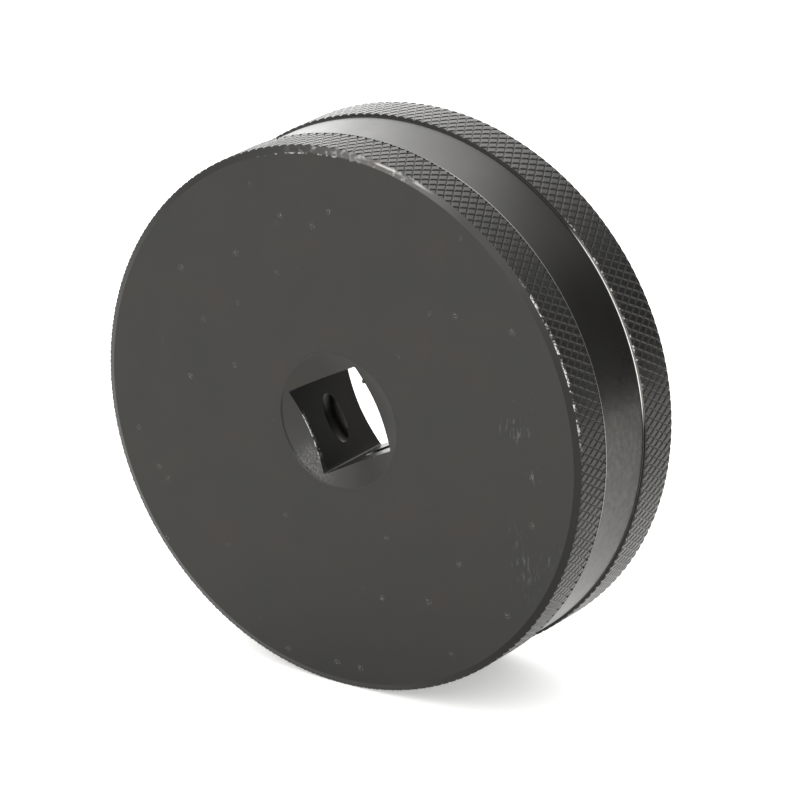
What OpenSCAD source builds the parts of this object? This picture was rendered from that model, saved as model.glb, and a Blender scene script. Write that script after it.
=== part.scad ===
// Oil filter wrench of the cap type: a shallow round cup with flats inside that grip the
// filter's cap, and a square drive in its closed end.
// It stands on its rim, as it would on a bench: the drive face looks along -Y, the open mouth
// along +Y, and the ground is at z = 0. All sizes are in millimetres.

/* [Cup] */
// Size across the flats that grip the filter cap
across_flats = 74; // [64:0.5:110]
// Number of flats round the inside
flats = 14; // [12:1:18]
// Wall from a flat out to the crests of the knurl
wall = 3; // [2.4:0.1:8]
// Length from the drive face to the open rim
tool_len = 24.5; // [20:0.1:60]
// How far a filter cap goes in before it meets the hub
grip_depth = 9.5; // [6:0.1:11]
// Chamfer round the outside of the open rim
rim_chamfer = 0.5; // [0.2:0.05:0.7]
// Land between the corners of the flats and the lead-in cone, at the open rim
lead_in_land = 0.2; // [0.1:0.05:0.4]

/* [Bands] */
// Width of the knurled band beside the drive face
front_band_w = 6.4; // [4:0.1:8]
// Width of the knurled band beside the open rim
rear_band_w = 6.8; // [4:0.1:8]
// How far the plain band lies below the crests of the knurl
band_step = 0.45; // [0.2:0.05:0.7]
// Fillet at the foot of the rear knurled band
band_fillet = 0.4; // [0.1:0.05:1.5]

/* [Drive plate] */
// Width of the chamfer round the drive face, across the face
face_chamfer_w = 1.05; // [0.3:0.05:2]
// Depth of the same chamfer, along the axis
face_chamfer_len = 0.5; // [0.2:0.05:1.5]
// Thickness of the floor of the cup
floor_t = 6.5; // [5:0.1:8]
// Length of the lip that the fluted ring is pressed on
lip_len = 2.5; // [1.5:0.1:4]
// Thickness of the lip
lip_w = 4; // [2:0.1:6]
// Step from the corners of the flats out to the seat of the lip
seat_step = 0.3; // [0.15:0.05:0.5]

/* [Drive hub] */
// Side of the square hole, for a half-inch drive
drive_square = 12.8; // [9.6:0.1:13]
// Turn of the square to the left, seen from the drive face, in degrees
drive_turn = 28; // [-45:1:45]
// Diameter of the boss that stands in the cup
boss_d = 30; // [26:0.5:36]
// Width of the flange round the boss, let into the floor
flange_w = 4; // [3.5:0.1:6]
// Length of the nose, from the drive face to the flange
nose_len = 3; // [2.5:0.1:3.8]
// Chamfer round the end of the boss
boss_chamfer = 0.8; // [0.3:0.1:1.5]

/* [Square hole] */
// Diameter of the countersink at each end of the square hole
countersink_d = 19.6; // [18.5:0.1:24]
// Slope of the countersink, from the face, in degrees
countersink_slope = 22; // [10:1:30]
// Land between the countersink and the outside of the nose
nose_land = 0.4; // [0.2:0.1:1]
// Depth of the detent groove's middle, from the drive face
detent_depth = 7.6; // [6:0.1:10]
// Radius that the detent groove reaches, from the axis
detent_reach = 7.4; // [7:0.1:8]
// Width of the groove at the middle of a wall of the square
detent_w = 3.8; // [2:0.1:5.5]

/* [Dowels] */
// Number of dowels that lock the hub's flange to the plate
dowels = 6; // [3:1:8]
// Diameter of a dowel
dowel_d = 3; // [2:0.1:3.5]
// Length of a dowel, which ends flush with the floor of the cup
dowel_len = 3; // [2:0.1:4]
// Chamfer at each end of a dowel
dowel_chamfer = 0.3; // [0.1:0.05:0.5]

/* [Fits] */
// Gap drawn on each side of a pressed joint
press_gap = 0.01; // [0:0.005:0.05]

/* [Hidden] */
$fn = 96;

cut = 1;                                          // how far a cut runs past the metal

// radii, from the inside out
flat_r = across_flats / 2;
corner_r = flat_r / cos(180 / flats);             // to the corners between the flats
seat_r = corner_r + seat_step;
crest_r = flat_r + wall;
plain_r = crest_r - band_step;
pocket_r = seat_r - press_gap - lip_w;            // inside of the lip
nose_r = countersink_d / 2 + nose_land;
boss_r = boss_d / 2;
flange_r = boss_r + flange_w;
dowel_r = dowel_d / 2;

// depths, from the drive face
seam = face_chamfer_len + front_band_w;           // where the ring meets the plate's shoulder
lip_end = seam + lip_len;
rear_band = tool_len - rim_chamfer - rear_band_w; // front edge of the rear knurled band
hub_end = tool_len - grip_depth;
lip_chamfer = 0.3;

plate_colour = [0.30, 0.29, 0.28];
hub_colour = [0.27, 0.26, 0.25];
ring_colour = [0.34, 0.33, 0.32];
dowel_colour = [0.55, 0.54, 0.52];

// Each piece is drawn with z as the depth from the drive face, and then stood on its rim.
module stand() {
    translate([0, -tool_len / 2, crest_r]) rotate([-90, 0, 0]) children();
}

// Puts what it is given at each dowel's place, on the edge of the hub's flange.
module at_dowels() {
    for (i = [0 : dowels - 1])
        rotate([0, 0, -drive_turn + i * 360 / dowels])
            translate([flange_r, 0, floor_t - dowel_len]) children();
}

module dowel_hole() {
    cylinder(r = dowel_r + press_gap, h = dowel_len + cut);
}

// Front disc: knurled edge, flat drive face, the floor of the cup and the lip for the ring.
module drive_plate() {
    lip_r = seat_r - press_gap;
    bore_r = nose_r + press_gap;
    flange_bore_r = flange_r + press_gap;
    color(plate_colour) stand() difference() {
        rotate_extrude() polygon([
            [bore_r, 0],
            [crest_r - face_chamfer_w, 0],
            [crest_r, face_chamfer_len],
            [crest_r, seam],
            [lip_r, seam],
            [lip_r, lip_end - lip_chamfer],
            [lip_r - lip_chamfer, lip_end],
            [pocket_r, lip_end],
            [pocket_r, floor_t],
            [flange_bore_r, floor_t],
            [flange_bore_r, nose_len],
            [bore_r, nose_len]
        ]);
        at_dowels() dowel_hole();
    }
}

// Drive insert: nose flush in the face, flange let into the floor, boss with the square hole.
module drive_hub() {
    color(hub_colour) stand() difference() {
        rotate_extrude() polygon([
            [0, 0],
            [nose_r, 0],
            [nose_r, nose_len],
            [flange_r, nose_len],
            [flange_r, floor_t],
            [boss_r, floor_t],
            [boss_r, hub_end - boss_chamfer],
            [boss_r - boss_chamfer, hub_end],
            [0, hub_end]
        ]);
        rotate([0, 0, -drive_turn]) {
            translate([-drive_square / 2, -drive_square / 2, -cut])
                cube([drive_square, drive_square, hub_end + 2 * cut]);
            rotate([0, 0, 45]) {
                countersink();
                translate([0, 0, hub_end]) mirror([0, 0, 1]) countersink();
                translate([0, 0, detent_depth]) detent_groove();
            }
        }
        at_dowels() dowel_hole();
    }
}

// Cone that opens towards the viewer, with its mouth at z = 0.
module countersink() {
    rise = tan(countersink_slope);
    mouth_r = countersink_d / 2;
    translate([0, 0, -cut])
        cylinder(r1 = mouth_r + cut / rise, r2 = 0, h = cut + mouth_r * rise);
}

// Ring of V section that cuts a pointed recess for the drive's ball in each wall of the square.
module detent_groove() {
    wall_r = drive_square / 2;
    spread = detent_w / 2 / (detent_reach - wall_r);  // half-width for each mm towards the axis
    inner_r = wall_r - cut;
    half_w = spread * (detent_reach - inner_r);
    rotate_extrude() polygon([[inner_r, -half_w], [detent_reach, 0], [inner_r, half_w]]);
}

// Dowels pressed in from the cup, half in the flange and half in the plate.
module hub_dowels() {
    color(dowel_colour) stand() at_dowels() rotate_extrude() polygon([
        [0, 0],
        [dowel_r - dowel_chamfer, 0],
        [dowel_r, dowel_chamfer],
        [dowel_r, dowel_len - dowel_chamfer],
        [dowel_r - dowel_chamfer, dowel_len],
        [0, dowel_len]
    ]);
}

// Skirt of the cup: flats inside, plain band and rear knurled band outside.
module fluted_ring() {
    lead_in_r = corner_r + lead_in_land;
    lead_in_len = lead_in_r - flat_r;
    color(ring_colour) stand() difference() {
        rotate_extrude() {
            polygon([
                [0, seam],
                [plain_r, seam],
                [plain_r, rear_band],
                [crest_r, rear_band],
                [crest_r, tool_len - rim_chamfer],
                [crest_r - rim_chamfer, tool_len],
                [0, tool_len]
            ]);
            band_foot();
        }
        translate([0, 0, seam - cut]) linear_extrude(tool_len - seam + 2 * cut) flats_outline();
        translate([0, 0, seam - cut]) cylinder(r = seat_r, h = lip_len + cut);
        translate([0, 0, tool_len - lead_in_len - cut])
            cylinder(r1 = flat_r - cut, r2 = lead_in_r + cut, h = lead_in_len + 2 * cut);
    }
}

// Fillet between the plain band and the rear knurled band, no taller than the step.
module band_foot() {
    r = min(band_fillet, band_step);
    difference() {
        translate([plain_r - cut, rear_band - r]) square([r + cut, r + cut]);
        translate([plain_r + r, rear_band - r]) circle(r = r);
        translate([plain_r + r, rear_band - r]) square([cut, r + 2 * cut]);
    }
}

module flats_outline() {
    step = 360 / flats;
    polygon([for (i = [0 : flats - 1]) corner_r * [cos((i + 0.5) * step), sin((i + 0.5) * step)]]);
}

drive_plate();
drive_hub();
hub_dowels();
fluted_ring();
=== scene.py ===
import math

import bpy
from mathutils import Matrix, Vector


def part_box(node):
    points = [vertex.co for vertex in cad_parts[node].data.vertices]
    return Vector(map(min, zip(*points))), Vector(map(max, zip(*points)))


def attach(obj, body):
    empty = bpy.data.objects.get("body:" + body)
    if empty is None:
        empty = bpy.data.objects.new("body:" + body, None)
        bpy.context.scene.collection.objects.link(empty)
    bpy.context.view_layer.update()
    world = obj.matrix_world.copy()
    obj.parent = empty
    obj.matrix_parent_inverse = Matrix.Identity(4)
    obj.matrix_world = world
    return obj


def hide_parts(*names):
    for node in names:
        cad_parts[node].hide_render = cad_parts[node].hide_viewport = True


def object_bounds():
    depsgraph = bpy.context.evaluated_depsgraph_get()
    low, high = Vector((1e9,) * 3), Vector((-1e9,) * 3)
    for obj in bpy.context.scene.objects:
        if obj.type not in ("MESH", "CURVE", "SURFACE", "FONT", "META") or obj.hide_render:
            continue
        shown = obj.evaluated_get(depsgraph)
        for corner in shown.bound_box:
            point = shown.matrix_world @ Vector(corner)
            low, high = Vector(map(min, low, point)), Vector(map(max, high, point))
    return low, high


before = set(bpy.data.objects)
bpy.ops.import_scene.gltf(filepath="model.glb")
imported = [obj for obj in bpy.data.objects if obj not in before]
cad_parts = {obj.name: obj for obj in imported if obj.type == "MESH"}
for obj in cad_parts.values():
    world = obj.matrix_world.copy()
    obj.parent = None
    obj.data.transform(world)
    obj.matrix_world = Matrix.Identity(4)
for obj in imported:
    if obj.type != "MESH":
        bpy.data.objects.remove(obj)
cadLow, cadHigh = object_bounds()
print("frame loaded:", sorted(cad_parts))

# sizes are in mm on the tool's own axis: depth is 0 at the drive face and grows towards the open rim
toolLength = (cadHigh.y - cadLow.y) * 1000
crestRadius = (cadHigh.z - cadLow.z) * 1000 / 2


def depthOf(place):
    return (place.y - cadLow.y) * 1000


plateBox, hubBox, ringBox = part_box("drive_plate"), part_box("drive_hub"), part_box("fluted_ring")
seamDepth = depthOf(ringBox[0])
lipEnd = depthOf(plateBox[1])
hubEnd = depthOf(hubBox[1])
flangeRadius = (hubBox[1].x - hubBox[0].x) * 1000 / 2

bands = {
    "step": 0.45,           # plain band below the crests of the knurl
    "rearWidth": 6.8,       # knurled band beside the open rim
    "rimChamfer": 0.5,
}
plainRadius = crestRadius - bands["step"]
rearBand = toolLength - bands["rimChamfer"] - bands["rearWidth"]


def only(obj):
    for other in bpy.context.selected_objects:
        other.select_set(False)
    obj.select_set(True)
    bpy.context.view_layer.objects.active = obj


def editMode(obj, kind="VERT"):
    only(obj)
    bpy.ops.object.mode_set(mode="EDIT")
    bpy.ops.mesh.select_mode(type=kind)


def objectMode():
    bpy.ops.object.mode_set(mode="OBJECT")


# selects vertices or polygons by their place, and edges by the places of both ends
def pick(obj, kind, test):
    objectMode()
    mesh = obj.data
    for group in (mesh.vertices, mesh.edges, mesh.polygons):
        group.foreach_set("select", [False] * len(group))
    for item in getattr(mesh, kind):
        if kind == "vertices":
            item.select = test(item.co)
        elif kind == "edges":
            item.select = all(test(mesh.vertices[i].co) for i in item.vertices)
        else:
            item.select = test(item.center)
    bpy.ops.object.mode_set(mode="EDIT")


def applyModifier(obj, name):
    only(obj)
    bpy.ops.object.modifier_apply(modifier=name)


def applyPlace(obj):
    only(obj)
    bpy.ops.object.transform_apply(location=True, rotation=True, scale=True)


def mergeClose(obj, distance):
    editMode(obj)
    bpy.ops.mesh.select_all(action="SELECT")
    bpy.ops.mesh.remove_doubles(threshold=distance)
    objectMode()


def facesOut(obj):
    editMode(obj)
    bpy.ops.mesh.select_all(action="SELECT")
    bpy.ops.mesh.normals_make_consistent(inside=False)
    objectMode()


def joinTo(obj, other):
    only(obj)
    other.select_set(True)
    bpy.ops.object.join()


def cutWith(obj, cutter, operation="DIFFERENCE"):
    boolean = obj.modifiers.new("cut", "BOOLEAN")
    boolean.operation = operation
    boolean.solver = "EXACT"
    boolean.object = cutter
    applyModifier(obj, "cut")
    bpy.data.objects.remove(cutter)


# rounds the edges that run along the axis of a prism
def roundUprights(prism, offset, segments, offsetType):
    editMode(prism, "EDGE")
    objectMode()
    for line in prism.data.edges:
        a, b = (prism.data.vertices[i].co for i in line.vertices)
        line.select = abs(a.z - b.z) > 1
    bpy.ops.object.mode_set(mode="EDIT")
    bpy.ops.mesh.bevel(offset=offset, offset_type=offsetType, segments=segments)
    objectMode()


# one point is extruded along a profile of (radius, depth), which is then spun round the tool's axis
def turned(name, profile, steps):
    bpy.ops.mesh.primitive_plane_add(size=1)
    obj = bpy.context.object
    obj.name = obj.data.name = name
    editMode(obj)
    bpy.ops.mesh.select_all(action="SELECT")
    bpy.ops.mesh.merge(type="CENTER")
    bpy.ops.transform.translate(value=(profile[0][0], 0, profile[0][1]))
    for (radius, depth), (nextRadius, nextDepth) in zip(profile, profile[1:]):
        bpy.ops.mesh.extrude_vertices_move(
            TRANSFORM_OT_translate={"value": (nextRadius - radius, 0, nextDepth - depth)})
    bpy.ops.mesh.select_all(action="SELECT")
    bpy.ops.mesh.spin(steps=steps, angle=math.tau, center=(0, 0, 0), axis=(0, 0, 1))
    objectMode()
    mergeClose(obj, 0.001)
    facesOut(obj)
    return obj


def arc(centreRadius, centreDepth, radius, fromDeg, toDeg, steps):
    angles = [math.radians(fromDeg + (toDeg - fromDeg) * i / steps) for i in range(steps + 1)]
    return [(centreRadius + radius * math.cos(a), centreDepth + radius * math.sin(a)) for a in angles]


# pieces are made in mm with z as the depth, and then stood on their rim in the frame
def standOnRim(obj):
    turn = Matrix.Rotation(math.radians(-90), 4, "X")
    shift = Matrix.Translation((0, cadLow.y, cadLow.z + crestRadius / 1000))
    obj.matrix_world = shift @ turn @ Matrix.Scale(0.001, 4)
    applyPlace(obj)


# knurling: one tooth is cut flat, repeated, and bent into a ring
knurl = {
    "teeth": 180,           # round the band, which makes the usual 1.2 mm pitch
    "helix": 30,            # degrees from the axis
    "depth": 0.16,          # of the V grooves
    "grooveWidth": 0.43,    # at the surface, square to the groove
    "land": 0.16,           # plain edge behind the front band
    "edgeBreak": 0.06,      # broken edge of that land
}
toothPitch = math.tau * crestRadius / knurl["teeth"]
slope = math.tan(math.radians(knurl["helix"]))
rowPitch = toothPitch / slope


def near(value, target, slack=0.01):
    return abs(value - target) < slack


# flat tooth: x goes round the band, z along the tool's axis, y into the metal
def knurlTooth(name, start, end):
    bpy.ops.mesh.primitive_plane_add(size=1, rotation=(math.pi / 2, 0, 0))
    tooth = bpy.context.object
    tooth.name = tooth.data.name = name
    tooth.scale = (toothPitch, end - start, 1)
    tooth.location = (toothPitch / 2, 0, (start + end) / 2)
    applyPlace(tooth)

    halfWidth = knurl["grooveWidth"] / 2 / math.cos(math.radians(knurl["helix"]))
    cuts = [((toothPitch / 2, 0, 0), (1, 0, 0))]
    row = math.ceil(start / (rowPitch / 2))
    while row * rowPitch / 2 < end:
        cuts.append(((0, 0, row * rowPitch / 2), (0, 0, 1)))
        row += 1
    for hand in (1, -1):
        reach = [x - hand * slope * z for x in (0, toothPitch) for z in (start, end)]
        first = math.ceil((min(reach) - halfWidth) / toothPitch)
        last = math.floor((max(reach) + halfWidth) / toothPitch)
        for groove in range(first, last + 1):
            for side in (-halfWidth, 0, halfWidth):
                cuts.append(((groove * toothPitch + side, 0, 0), (1, 0, -hand * slope)))
    editMode(tooth)
    for place, normal in cuts:
        bpy.ops.mesh.select_all(action="SELECT")
        bpy.ops.mesh.bisect(plane_co=place, plane_no=normal, threshold=0.0001)

    def onGrooveLine(point):
        turns = [(point.x - hand * slope * point.z) / toothPitch for hand in (1, -1)]
        return any(near(turn * toothPitch, round(turn) * toothPitch, 0.001) for turn in turns)

    pick(tooth, "vertices", onGrooveLine)
    bpy.ops.transform.translate(value=(0, knurl["depth"], 0))
    objectMode()
    return tooth


# cuts a tooth off along a sloping plane
def cutSlope(tooth, place, normal):
    editMode(tooth)
    bpy.ops.mesh.select_all(action="SELECT")
    bpy.ops.mesh.bisect(plane_co=place, plane_no=Vector(normal).normalized(),
                        clear_inner=True, threshold=0.0001)
    objectMode()


# extrudes the chosen edges of a tooth on to an inset from the crests, a depth, or both
def carryEdge(tooth, test, inset=None, depth=None):
    editMode(tooth, "EDGE")
    pick(tooth, "edges", test)
    bpy.ops.mesh.extrude_edges_move(TRANSFORM_OT_translate={"value": (0, 0, 0)})
    bpy.ops.transform.resize(
        value=(1, 1 if inset is None else 0, 1 if depth is None else 0),
        center_override=(0, inset or 0, depth or 0))
    objectMode()


def bendToRing(tooth):
    array = tooth.modifiers.new("repeat", "ARRAY")
    array.use_relative_offset = False
    array.use_constant_offset = True
    array.constant_offset_displace = (toothPitch, 0, 0)
    array.count = knurl["teeth"]
    array.use_merge_vertices = True
    array.merge_threshold = 0.002
    applyModifier(tooth, "repeat")
    bend = tooth.modifiers.new("bend", "SIMPLE_DEFORM")
    bend.deform_method = "BEND"
    bend.deform_axis = "Z"
    bend.angle = math.tau
    applyModifier(tooth, "bend")
    tooth.location = (0, -crestRadius, 0)
    applyPlace(tooth)
    mergeClose(tooth, 0.002)


def radiusOf(point):
    return math.hypot(point.x, point.y)


# joins a knurled ring to its turned core, between two open loops given by radius and depth
def bridge(obj, *loops):
    editMode(obj, "EDGE")
    pick(obj, "edges", lambda p: any(
        near(radiusOf(p), radius) and near(p.z, depth) for radius, depth in loops))
    bpy.ops.mesh.bridge_edge_loops()
    objectMode()


# drive plate: the knurled front band, the face, the floor of the cup and the lip for the ring
plate = {
    "chamferWidth": 1.05,   # round the drive face
    "chamferDepth": 0.5,
    "floor": 6.5,
    "lipRadius": 38.242,    # seat of the fluted ring
    "lipWidth": 4,
    "lipChamfer": 0.3,
    "lipEdge": 0.2,         # broken edge inside the lip
    "lipFoot": 0.4,         # hollow at the foot of the lip
    "boreRadius": 10.21,    # round the hub's nose
    "nose": 3,
    "gap": 0.01,            # drawn at the pressed joints
    "dowels": 6,
    "dowelRadius": 1.5,
    "dowelLength": 3,
    "dowelSides": 32,
    "turn": 28,             # of the square and the dowels, in degrees
    "segments": 180,
}


# half of each hole is in the plate and half in the hub's flange
def cutDowelHoles(obj):
    radius, length, past = plate["dowelRadius"] + plate["gap"], plate["dowelLength"], 1
    for i in range(plate["dowels"]):
        angle = math.radians(i * 360 / plate["dowels"] - plate["turn"])
        bpy.ops.mesh.primitive_cylinder_add(
            vertices=plate["dowelSides"], radius=radius, depth=length + past,
            location=(flangeRadius * math.cos(angle), flangeRadius * math.sin(angle),
                      plate["floor"] + (past - length) / 2))
        cutWith(obj, bpy.context.object)


def makeDrivePlate():
    width, depth = plate["chamferWidth"], plate["chamferDepth"]
    edge, landStart = knurl["edgeBreak"], seamDepth - knurl["land"]
    tooth = knurlTooth("drivePlate", 0, landStart)
    cutSlope(tooth, (0, 0, depth), (0, depth, width))
    carryEdge(tooth, lambda p: near(p.y * depth + p.z * width, depth * width, 0.002),
              inset=width, depth=0)
    carryEdge(tooth, lambda p: near(p.z, landStart, 0.001), inset=0)
    carryEdge(tooth, lambda p: near(p.z, landStart, 0.001) and near(p.y, 0, 0.001),
              depth=seamDepth - edge)
    carryEdge(tooth, lambda p: near(p.z, seamDepth - edge, 0.001), inset=edge, depth=seamDepth)
    carryEdge(tooth, lambda p: near(p.z, seamDepth, 0.001), inset=bands["step"])
    bendToRing(tooth)

    # the core is closed while its holes are cut, and then loses its outer wall; flat strips join
    # it to the knurled ring
    lip, pocket, floor = plate["lipRadius"], plate["lipRadius"] - plate["lipWidth"], plate["floor"]
    lipEdge, foot, flangeBore = plate["lipEdge"], plate["lipFoot"], flangeRadius + plate["gap"]
    face, inner = (crestRadius - width, 0), (crestRadius - width - 0.6, 0)
    shoulder, outer = (plainRadius, seamDepth), (plainRadius - 0.4, seamDepth)
    core = turned("plateCore", [
        inner,
        (plate["boreRadius"], 0),
        (plate["boreRadius"], plate["nose"]),
        (flangeBore, plate["nose"]),
        (flangeBore, floor),
        (pocket - foot, floor),
        *arc(pocket - foot, floor + foot, foot, -90, 0, 3)[1:],
        (pocket, lipEnd - lipEdge),
        (pocket + lipEdge, lipEnd),
        (lip - plate["lipChamfer"], lipEnd),
        (lip, lipEnd - plate["lipChamfer"]),
        (lip, seamDepth),
        outer,
        inner,
    ], plate["segments"])
    cutDowelHoles(core)
    editMode(core, "FACE")
    pick(core, "polygons", lambda p: 0.1 < p.z < seamDepth - 0.1 and radiusOf(p) > inner[0])
    bpy.ops.mesh.delete(type="FACE")
    objectMode()
    joinTo(tooth, core)
    bridge(tooth, face, inner)
    bridge(tooth, shoulder, outer)
    mergeClose(tooth, 0.0005)
    facesOut(tooth)
    return tooth


drivePlate = makeDrivePlate()
print("drive plate:", len(drivePlate.data.polygons), "faces")
standOnRim(drivePlate)


# fluted ring: flats inside, plain band and rear knurled band outside
ringShape = {
    "flats": 14,
    "acrossFlats": 74,
    "cornerRadius": 1.5,    # between two flats
    "seatRadius": 38.252,
    "seatLength": 2.5,
    "foot": 0.14,           # hollow at the foot of the rear band
    "shoulderBreak": 0.17,  # broken edge at the front of the rear band
    "seamBreak": 0.05,      # broken edge beside the plate
    "leadInLand": 0.2,
    "segments": 180,
}


def makeFlutedRing():
    chamfer, foot, edge = bands["rimChamfer"], ringShape["foot"], ringShape["shoulderBreak"]
    tooth = knurlTooth("flutedRing", rearBand, toolLength)
    cutSlope(tooth, (0, 0, rearBand + edge), (0, 1, 1))
    carryEdge(tooth, lambda p: near(p.y + p.z, rearBand + edge, 0.001) and p.y < edge + 0.001,
              inset=edge, depth=rearBand)
    cutSlope(tooth, (0, 0, toolLength - chamfer), (0, 1, -1))
    carryEdge(tooth, lambda p: near(p.z - p.y, toolLength - chamfer, 0.001),
              inset=chamfer, depth=toolLength)
    carryEdge(tooth, lambda p: near(p.z, rearBand, 0.001), inset=bands["step"] - foot)
    bendToRing(tooth)

    # the core's bore is only a start, and is cut away with the flats
    startBore = 30
    footRadius, rim = plainRadius + foot, (crestRadius - chamfer, toolLength)
    hollow = arc(footRadius, rearBand - foot, foot, 90, 180, 4)[1:]
    innerRim = (rim[0] - 0.6, toolLength)
    core = turned("ringCore", [
        *hollow,
        (plainRadius, seamDepth + ringShape["seamBreak"]),
        (plainRadius - ringShape["seamBreak"], seamDepth),
        (startBore, seamDepth),
        (startBore, toolLength),
        innerRim,
    ], ringShape["segments"])
    joinTo(tooth, core)
    bridge(tooth, (footRadius, rearBand), hollow[0])
    bridge(tooth, rim, innerRim)
    mergeClose(tooth, 0.0005)
    facesOut(tooth)
    return tooth


# takes the flats, the seat of the plate's lip and the lead-in cone out of the ring
def hollowRing(ring):
    past, flats = 1, ringShape["flats"]
    flatRadius = ringShape["acrossFlats"] / 2
    cornerRadius = flatRadius / math.cos(math.pi / flats)
    length = toolLength - seamDepth
    bpy.ops.mesh.primitive_cylinder_add(
        vertices=flats, radius=cornerRadius, depth=length + 2 * past,
        location=(0, 0, seamDepth + length / 2))
    prism = bpy.context.object
    roundUprights(prism, ringShape["cornerRadius"], 4, "WIDTH")
    prism.rotation_euler.z = math.pi / flats
    applyPlace(prism)
    cutWith(ring, prism)

    seat, seatEnd = ringShape["seatRadius"], seamDepth + ringShape["seatLength"]
    cutWith(ring, turned("seat", [
        (0, seamDepth - past), (seat, seamDepth - past), (seat, seatEnd), (0, seatEnd)],
        ringShape["segments"]))

    # a 45 degree cone, from inside the flats to past the rim
    coneRadius = flatRadius - 0.5
    leadIn = cornerRadius + ringShape["leadInLand"]
    coneStart = toolLength - (leadIn - coneRadius)
    cutWith(ring, turned("leadIn", [
        (0, coneStart), (coneRadius, coneStart), (leadIn + past, toolLength + past),
        (0, toolLength + past)], ringShape["segments"]))


flutedRing = makeFlutedRing()
hollowRing(flutedRing)
print("fluted ring:", len(flutedRing.data.polygons), "faces")
standOnRim(flutedRing)


# drive hub: nose in the face, flange in the floor, boss with the square hole
hub = {
    "square": 12.8,         # for a half-inch drive
    "cornerRadius": 0.25,
    "turn": 28,             # degrees to the left, seen from the drive face
    "noseRadius": 10.2,
    "noseLength": 3,
    "floor": 6.5,
    "bossRadius": 15,
    "bossChamfer": 0.8,
    "sinkRadius": 9.8,      # countersink at each end
    "sinkSlope": 22,
    "detentDepth": 7.6,     # recess for the drive's ball
    "detentReach": 7.4,
    "detentRound": 2.3,
    "burrAlong": 4.1,       # place of a burr on the square's right edge
    "burrOut": 0.12,
    "burrRise": 0.1,
    "burrRadius": 0.4,
    "burrShape": (1.3, 0.8, 0.7),
    "burrTurn": 34.4,       # degrees from the edge
    "segments": 160,
}


def makeDriveHub():
    nose, boss, chamfer = hub["noseRadius"], hub["bossRadius"], hub["bossChamfer"]
    body = turned("driveHub", [
        (0, 0), (nose, 0), (nose, hub["noseLength"]), (flangeRadius, hub["noseLength"]),
        (flangeRadius, hub["floor"]), (boss, hub["floor"]), (boss, hubEnd - chamfer),
        (boss - chamfer, hubEnd), (0, hubEnd)], hub["segments"])

    past = 1
    bpy.ops.mesh.primitive_cube_add(size=1, location=(0, 0, hubEnd / 2))
    square = bpy.context.object
    square.scale = (hub["square"], hub["square"], hubEnd + 2 * past)
    applyPlace(square)
    roundUprights(square, hub["cornerRadius"], 3, "OFFSET")
    square.rotation_euler.z = math.radians(-hub["turn"])
    applyPlace(square)
    cutWith(body, square)

    rise = math.tan(math.radians(hub["sinkSlope"]))
    mouth = hub["sinkRadius"] + past / rise
    for end, way in ((0, 1), (hubEnd, -1)):
        cutWith(body, turned("sink", [
            (0, end - way * past), (mouth, end - way * past),
            (0, end + way * hub["sinkRadius"] * rise)], hub["segments"]))
    centre = hub["detentReach"] - hub["detentRound"]
    cutWith(body, turned("groove", arc(centre, hub["detentDepth"], hub["detentRound"], 0, 360, 32),
                         hub["segments"]))
    cutDowelHoles(body)
    addBurr(body, rise)
    mergeClose(body, 0.001)
    return body


# a nick's turned-up metal on the square's right edge
def addBurr(body, rise):
    along, out = hub["burrAlong"], hub["square"] / 2 + hub["burrOut"]
    turn = math.radians(hub["turn"])
    x = out * math.cos(turn) - along * math.sin(turn)
    y = -out * math.sin(turn) - along * math.cos(turn)
    sink = (hub["sinkRadius"] - math.hypot(out, along)) * rise
    bpy.ops.mesh.primitive_ico_sphere_add(subdivisions=3, radius=hub["burrRadius"],
                                          location=(x, y, sink + hub["burrRise"]))
    burr = bpy.context.object
    burr.scale = hub["burrShape"]
    burr.rotation_euler.z = -turn - math.radians(hub["burrTurn"])
    applyPlace(burr)
    cutWith(body, burr, "UNION")


driveHub = makeDriveHub()
print("drive hub:", len(driveHub.data.polygons), "faces")
standOnRim(driveHub)


def colour(hexCode):
    def linear(part):
        value = int(part, 16) / 255
        return value / 12.92 if value <= 0.04045 else ((value + 0.055) / 1.055) ** 2.4
    return (linear(hexCode[1:3]), linear(hexCode[3:5]), linear(hexCode[5:7]), 1)


# adds one node; an input is a value or another node's output, and output None gives the node itself
def addNode(tree, kind, settings=None, inputs=None, output=0):
    node = tree.nodes.new("ShaderNode" + kind)
    for name, value in (settings or {}).items():
        setattr(node, name, value)
    for name, value in (inputs or {}).items():
        if isinstance(value, bpy.types.NodeSocket):
            tree.links.new(value, node.inputs[name])
        else:
            node.inputs[name].default_value = value
    return node if output is None else node.outputs[output]


# where a mark shows: a limit is (value, low, high), 0 below low and 1 above high, or
# (value, middle, half width, soft edge), and the mark is as strong as all of them together allow
def mark(tree, strength, *limits):
    level = strength
    for value, *edges in limits:
        if len(edges) == 3:
            middle, halfWidth, soft = edges
            offset = addNode(tree, "Math", {"operation": "SUBTRACT"}, {0: value, 1: middle})
            value = addNode(tree, "Math", {"operation": "ABSOLUTE"}, {0: offset})
            edges = halfWidth + soft, halfWidth
        step = addNode(tree, "MapRange", {"interpolation_type": "SMOOTHSTEP"},
                       {"Value": value, "From Min": edges[0], "From Max": edges[1]})
        level = addNode(tree, "Math", {"operation": "MULTIPLY"}, {0: step, 1: level})
    return level


# marks laid over each other
def together(tree, *marks):
    level = marks[0]
    for other in marks[1:]:
        level = addNode(tree, "Math", {"operation": "ADD", "use_clamp": True}, {0: level, 1: other})
    return level


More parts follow.
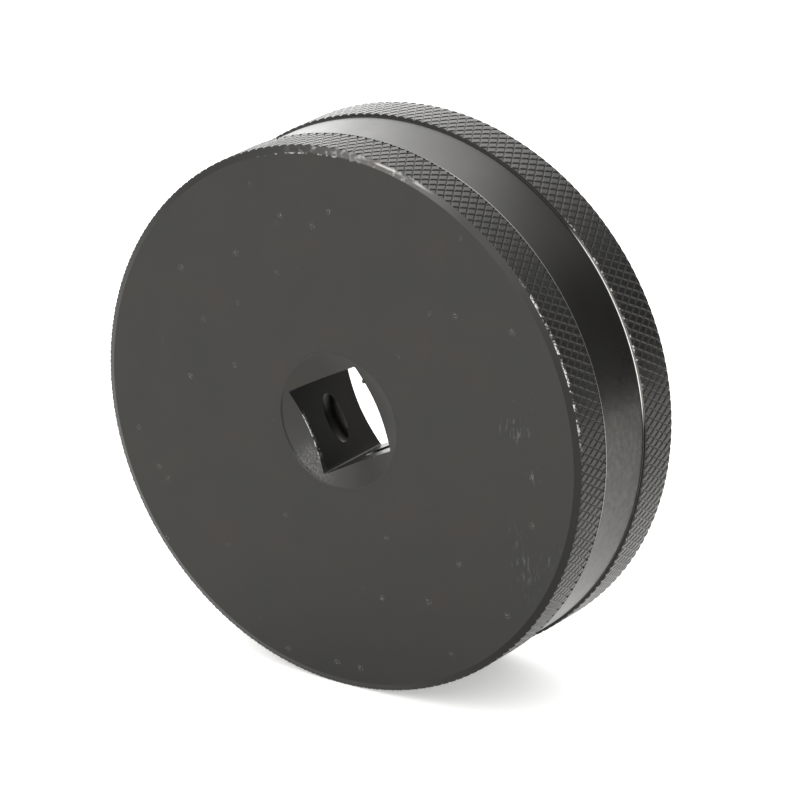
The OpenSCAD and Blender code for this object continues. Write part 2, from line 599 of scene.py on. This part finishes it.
# place in mm (x, depth, height over the axis), then depth, radius, and angle round the rim in
# radians from the top, clockwise as seen from the drive face
def toolPlace(tree):
    where = addNode(tree, "Mapping", None, {
        "Vector": addNode(tree, "TexCoord", output="Object"), "Scale": (1000, 1000, 1000),
        "Location": (0, -cadLow.y * 1000, -crestRadius)})
    split = addNode(tree, "SeparateXYZ", None, {0: where}, output=None)
    flat = addNode(tree, "VectorMath", {"operation": "MULTIPLY"}, {0: where, 1: (1, 0, 1)})
    radius = addNode(tree, "VectorMath", {"operation": "LENGTH"}, {0: flat}, "Value")
    angle = addNode(tree, "Math", {"operation": "ARCTAN2"},
                    {0: split.outputs["X"], 1: split.outputs["Z"]})
    return where, split.outputs["Y"], radius, angle


# the limit of a stretch round the rim, given in degrees
def around(angle, middle, halfWidth, soft):
    return angle, math.radians(middle), math.radians(halfWidth), math.radians(soft)


oxide = {
    "warm": "#3b3937",
    "cool": "#383837",
    "bareAndHighlight": "#cfcdc9",      # steel where the black is knocked off, also laid on as painted highlight
    "dust": "#8d8a85",
    "black": "#161515",     # painted shade in the hub's recess and on the countersink's rim, and the plate's chamfer darker on its right side
    "grain": 0.3,           # mm, of the blasted surface
    "mottle": 9,            # mm, patches left by the hot bath
    "nicks": 1.0,           # mm, breaks in a worn edge
    "speckCell": 4.2,       # mm, between clusters of specks on the face
    "speck": 0.2,           # mm
    "streak": 0.8,          # mm, in the smear on the face
}


# small clusters of dust and nicks, here and there on the drive face
def faceSpecks(tree, where, depth):
    cells = addNode(tree, "TexVoronoi", None, {
        "Vector": where, "Scale": 1 / oxide["speckCell"]}, output=None)
    chance = addNode(tree, "SeparateColor", None, {0: cells.outputs["Color"]}, "Red")
    dots = addNode(tree, "TexNoise", None, {
        "Vector": where, "Scale": 1 / oxide["speck"], "Detail": 2.0, "Roughness": 0.6})
    return mark(tree, 0.65, (cells.outputs["Distance"], 0.17, 0.04), (chance, 0.25, 0.8),
                (dots, 0.53, 0.62), (depth, 0.0, 0.02, 0.05))


# a pale smear of fine streaks, on the right of the drive face
def faceSmear(tree, where, depth, radius, angle):
    broad = addNode(tree, "TexNoise", None, {
        "Vector": where, "Scale": 1 / oxide["mottle"], "Detail": 2.0, "Roughness": 0.5})
    slant = addNode(tree, "Mapping", None, {
        "Vector": where, "Rotation": (0, math.radians(35), 0), "Scale": (1.6, 1, 0.45)})
    fine = addNode(tree, "TexNoise", None, {
        "Vector": slant, "Scale": 1 / oxide["streak"], "Detail": 3.0, "Roughness": 0.6})
    return mark(tree, 0.4, (broad, 0.54, 0.68), (fine, 0.5, 0.8), around(angle, 98, 10, 25),
                (radius, 31, 4, 5), (depth, 0.0, 0.02, 0.05))


# the plate's edge is knocked bright, in part painted highlight where the light falls: a streak on the
# chamfer, dots on the crests, and a thin line along the land behind the knurl; the chamfer is darker
# on its right side
def plateWearAndHighlights(tree, where, depth, radius, angle):
    faceRadius = crestRadius - plate["chamferWidth"]
    chamfer = (depth, 0.25, 0.2, 0.06), (radius, faceRadius - 0.05, faceRadius + 0.05)
    nicks = addNode(tree, "TexNoise", None, {
        "Vector": where, "Scale": 1 / oxide["nicks"], "Detail": 3.0, "Roughness": 0.6})
    runs = addNode(tree, "TexNoise", None, {
        "Vector": where, "Scale": 1 / 2.5, "Detail": 2.0, "Roughness": 0.5})
    # bare streak on the chamfer's top: worn steel, and also painted highlight
    onChamfer = together(
        tree,
        mark(tree, 0.36, around(angle, 14, 4, 6), (radius, crestRadius - 0.38, 0.06, 0.14),
             (runs, 0.35, 0.6)),
        mark(tree, 0.06, around(angle, 12, 8, 14)),
        mark(tree, 0.22, (nicks, 0.5, 0.68), around(angle, 5, 10, 10)))
    innerEdge = mark(tree, 0.45, (radius, faceRadius - 0.05, 0.05, 0.08), (nicks, 0.5, 0.6),
                     around(angle, -8, 7, 8))
    # bright crests on the right: worn tips, and also painted highlight where the light falls
    crests = mark(tree, 0.8, (depth, plate["chamferDepth"] + 0.02, 0.2, 0.16),
                  (radius, crestRadius - 0.18, crestRadius - 0.1), around(angle, 66, 11, 10),
                  (nicks, 0.46, 0.58))
    # bright line on the land: a worn edge, and also painted highlight where it catches the light
    land = mark(tree, 0.5, (depth, seamDepth - knurl["land"] / 2, 0.07, 0.03),
                around(angle, 62, 36, 16))
    bareAndHighlight = together(tree, mark(tree, onChamfer, *chamfer), innerEdge, crests, land)
    dust = together(tree, faceSpecks(tree, where, depth), faceSmear(tree, where, depth, radius, angle))
    # the third mark darkens the chamfer's right side
    return bareAndHighlight, dust, mark(tree, 0.42, *chamfer, around(angle, 100, 30, 40))


# the shoulder of the rear band is burnished on the right, with a few bright crests beside it, both
# also painted highlight where the light falls, and the plain band has a thin pale film low on the
# right
def ringWearAndHighlights(tree, where, depth, radius, angle):
    nicks = addNode(tree, "TexNoise", None, {
        "Vector": where, "Scale": 1 / 0.9, "Detail": 3.0, "Roughness": 0.6})
    cloud = addNode(tree, "TexNoise", None, {
        "Vector": where, "Scale": 1 / 1.1, "Detail": 4.0, "Roughness": 0.75})
    # bright crests on the right: worn tips, and also painted highlight
    crests = mark(tree, 0.7, (depth, rearBand + 0.16, 0.12, 0.1),
                  (radius, crestRadius - 0.15, crestRadius - 0.07), around(angle, 60, 13, 8),
                  (nicks, 0.5, 0.6))
    # burnished line on the shoulder: bare steel, and also painted highlight where the light falls
    shoulder = mark(tree, 1.0, (depth, rearBand - 0.03, 0.06, 0.04),
                    (radius, plainRadius + 0.1, 0.16, 0.06), around(angle, 65, 15, 8))
    film = mark(tree, 0.14, (radius, plainRadius, 0.05, 0.05), (cloud, 0.35, 0.75),
                around(angle, 120, 30, 25))
    return together(tree, crests, shoulder), film, 0.0


# drives have rubbed the countersink and the square's left edge, with painted light on the
# countersink's lower side and painted highlight on that edge; painted shade in the recess and painted
# shadow on the countersink's rim
def hubWearLightAndShade(tree, where, depth, radius, angle):
    grain = addNode(tree, "TexNoise", None, {
        "Vector": where, "Scale": 1 / 0.22, "Detail": 3.0, "Roughness": 0.7})
    nicks = addNode(tree, "TexNoise", None, {
        "Vector": where, "Scale": 1 / 0.5, "Detail": 3.0, "Roughness": 0.6})
    square = addNode(tree, "SeparateXYZ", None, {0: addNode(tree, "Mapping", None, {
        "Vector": where, "Rotation": (0, math.radians(hub["turn"]), 0)})}, output=None)
    wall = -hub["square"] / 2
    # rubbed grain, and painted light on the countersink's lower side
    rubbedAndLit = mark(tree, 0.1, (grain, 0.38, 0.68), around(angle, -151, 6, 24),
                  (radius, 8.6, 0.8, 1.4), (depth, 0.6, 0.7, 0.3))
    # specks on the square's left edge: worn, and also painted highlight
    leftEdge = mark(tree, 0.6, (square.outputs["X"], wall, 0.07, 0.05),
                    (square.outputs["Z"], -0.6, 2.6, 1.2), (depth, 1.9, 1.4), (depth, 0.6, 0.9),
                    (nicks, 0.46, 0.56))
    # painted shade in the recess for the drive's ball
    recess = mark(tree, 0.55, (square.outputs["X"], wall - 0.02, wall - 0.12),
                  (depth, hub["detentDepth"], 2.3, 0.1), (radius, 7.7, 7.6))
    # painted shadow on the countersink's lower-left rim
    rim = mark(tree, 0.5, (radius, hub["sinkRadius"] - 0.12, 0.08, 0.1), (depth, 0.0, 0.15, 0.1),
               around(angle, -120, 30, 20))
    return together(tree, rubbedAndLit, leftEdge), 0.0, together(tree, recess, rim)


# black oxide on machined steel: dark metal, satin, patchy from the bath, bare where it is knocked,
# with painted highlights and painted shade laid into the colour
def blackOxide(name, roughness, bump, wearAndLight):
    material = bpy.data.materials.new(name)
    material.use_nodes = True
    tree = material.node_tree
    shader = tree.nodes["Principled BSDF"]
    where, depth, radius, angle = toolPlace(tree)
    patches = addNode(tree, "TexNoise", None, {
        "Vector": where, "Scale": 1 / oxide["mottle"], "Detail": 4.0, "Roughness": 0.6})
    tone = addNode(tree, "Mix", {"data_type": "RGBA"}, {
        "Factor": mark(tree, 1.0, (patches, 0.3, 0.7)),
        "A": colour(oxide["warm"]), "B": colour(oxide["cool"])}, "Result")
    bareAndHighlight, dust, darkeningAndShade = wearAndLight(tree, where, depth, radius, angle)
    # painted shade and darkening, dust, then bare steel with painted highlights, laid over the tone
    for share, over in ((darkeningAndShade, "black"), (dust, "dust"), (bareAndHighlight, "bareAndHighlight")):
        tone = addNode(tree, "Mix", {"data_type": "RGBA"}, {
            "Factor": share, "A": tone, "B": colour(oxide[over])}, "Result")
    tree.links.new(tone, shader.inputs["Base Color"])
    shader.inputs["Metallic"].default_value = 1
    tree.links.new(addNode(tree, "MapRange", None, {
        "Value": patches, "From Min": 0.3, "From Max": 0.7,
        "To Min": roughness - 0.04, "To Max": roughness + 0.04}), shader.inputs["Roughness"])
    blast = addNode(tree, "TexNoise", None, {
        "Vector": where, "Scale": 1 / oxide["grain"], "Detail": 3.0, "Roughness": 0.6})
    tree.links.new(addNode(tree, "Bump", None, {
        "Strength": bump, "Distance": 0.00005, "Height": blast}), shader.inputs["Normal"])
    return material


dowelSteel = {
    "dark": "#62605d",
    "light": "#7a7875",
    "patch": 1.4,           # mm, thin oxide
    "line": 0.06,           # mm, marks of the grinding stone round each dowel
}


# centreless-ground steel with a thin oxide: dull grey, with fine lines round it
def groundSteel(name):
    material = bpy.data.materials.new(name)
    material.use_nodes = True
    tree = material.node_tree
    shader = tree.nodes["Principled BSDF"]
    where = toolPlace(tree)[0]
    drawn = addNode(tree, "Mapping", None, {"Vector": where, "Scale": (0.2, 1, 0.2)})
    lines = addNode(tree, "TexNoise", None, {
        "Vector": drawn, "Scale": 1 / dowelSteel["line"], "Detail": 3.0, "Roughness": 0.6})
    patches = addNode(tree, "TexNoise", None, {
        "Vector": where, "Scale": 1 / dowelSteel["patch"], "Detail": 3.0, "Roughness": 0.6})
    tree.links.new(addNode(tree, "Mix", {"data_type": "RGBA"}, {
        "Factor": patches, "A": colour(dowelSteel["dark"]), "B": colour(dowelSteel["light"])},
        "Result"), shader.inputs["Base Color"])
    shader.inputs["Metallic"].default_value = 1
    tree.links.new(addNode(tree, "MapRange", None, {
        "Value": patches, "To Min": 0.22, "To Max": 0.34}), shader.inputs["Roughness"])
    tree.links.new(addNode(tree, "Bump", None, {
        "Strength": 0.2, "Distance": 0.00001, "Height": lines}), shader.inputs["Normal"])
    return material


# roughness, strength of the blasted grain, and wear with painted highlights and shade
finishes = {
    "black_oxide_plate": (0.36, 0.2, plateWearAndHighlights),
    "black_oxide_ring": (0.3, 0.15, ringWearAndHighlights),
    "black_oxide_hub": (0.36, 0.3, hubWearLightAndShade),
}
smoothUnder = 20            # degrees between faces

for piece, node, slot in ((drivePlate, "drive_plate", "black_oxide_plate"),
                          (flutedRing, "fluted_ring", "black_oxide_ring"),
                          (driveHub, "drive_hub", "black_oxide_hub")):
    only(piece)
    bpy.ops.object.shade_smooth_by_angle(angle=math.radians(smoothUnder))
    piece.data.materials.clear()
    piece.data.materials.append(blackOxide(slot, *finishes[slot]))
    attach(piece, "root")
    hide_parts(node)

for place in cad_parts["hub_dowels"].material_slots:
    place.material = groundSteel("ground_steel_dowels")
print("finishes made:", len(finishes) + 1)


# camera
view = {
    "azimuth": 33.87,       # degrees round from the drive face's own axis
    "elevation": 20.7,
    "lens": 255.6,
    "sensor": 36,
    "distance": 0.795,      # metres, as are the next two
    "right": 0.0084,        # of the drive face's centre
    "up": 0.0029,
}


def placeCamera():
    a, e = math.radians(view["azimuth"]), math.radians(view["elevation"])
    right = Vector((math.cos(a), math.sin(a), 0))
    forward = Vector((-math.sin(a) * math.cos(e), math.cos(a) * math.cos(e), -math.sin(e)))
    up = right.cross(forward)
    faceCentre = Vector((0, cadLow.y + 0.0005, (cadLow.z + cadHigh.z) / 2))
    camera = bpy.data.objects.new("camera", bpy.data.cameras.new("camera"))
    bpy.context.scene.collection.objects.link(camera)
    place = faceCentre + right * view["right"] + up * view["up"] - forward * view["distance"]
    camera.matrix_world = (Matrix.Translation(place)
                           @ Matrix((right, up, -forward)).transposed().to_4x4())
    camera.data.lens = view["lens"]
    camera.data.sensor_width = view["sensor"]
    bpy.context.scene.camera = camera


placeCamera()

# floor and light
studio = {
    "paper": "#f4f4f2",
    "paperWidth": 2.2,      # metres, as are the next two
    "paperDepth": 3.0,
    "paperEdge": 0.32,      # from the tool to the paper's right edge, seen from the camera
    "glow": 0.37,           # light through the paper from below
    "base": 1.0,            # brightness all round, and of the background that the camera sees
    # softboxes: azimuth from +Y towards +X, elevation, inner and outer half-angles, brightness
    "boxes": (
        (44, 6, 18, 36, 0.28),      # the unlit side, behind on the right
        (-36, 20, 25, 50, 3.0),
        (190, 30, 22, 50, 2.6),
        (98, 6, 14, 32, 2.4),
    ),
}


# matt white paper lit from below, which gives a bright ground with a soft shadow
def layPaper():
    bpy.ops.mesh.primitive_plane_add(size=1)
    paper = bpy.context.object
    paper.name = paper.data.name = "floor"
    paper.scale = (studio["paperWidth"], studio["paperDepth"], 1)
    paper.location = (studio["paperEdge"] - studio["paperWidth"] / 2, 0, 0)
    applyPlace(paper)
    paper.rotation_euler.z = math.radians(view["azimuth"])
    applyPlace(paper)
    material = bpy.data.materials.new("whitePaper")
    material.use_nodes = True
    shader = material.node_tree.nodes["Principled BSDF"]
    shader.inputs["Base Color"].default_value = colour(studio["paper"])
    shader.inputs["Roughness"].default_value = 0.9
    shader.inputs["Emission Color"].default_value = colour(studio["paper"])
    shader.inputs["Emission Strength"].default_value = studio["glow"]
    paper.data.materials.append(material)


layPaper()


def lightStudio():
    world = bpy.data.worlds.new("studio")
    bpy.context.scene.world = world
    world.use_nodes = True
    tree = world.node_tree
    tree.nodes.clear()
    way = addNode(tree, "TexCoord", output="Generated")
    level = studio["base"]
    for azimuth, elevation, inner, outer, brightness in studio["boxes"]:
        a, e = math.radians(azimuth), math.radians(elevation)
        middle = (math.sin(a) * math.cos(e), math.cos(a) * math.cos(e), math.sin(e))
        close = addNode(tree, "VectorMath", {"operation": "DOT_PRODUCT"}, {0: way, 1: middle}, "Value")
        spot = mark(tree, 1.0, (close, math.cos(math.radians(outer)), math.cos(math.radians(inner))))
        level = addNode(tree, "Mix", None, {"Factor": spot, "A": level, "B": brightness})
    seen = addNode(tree, "LightPath", output="Is Camera Ray")
    shown = addNode(tree, "Mix", None, {"Factor": seen, "A": level, "B": studio["base"]})
    background = addNode(tree, "Background", None, {"Color": (1, 1, 1, 1), "Strength": shown})
    addNode(tree, "OutputWorld", None, {"Surface": background}, output=None)


lightStudio()
bpy.context.scene.view_settings.view_transform = "Standard"
print("scene lit")
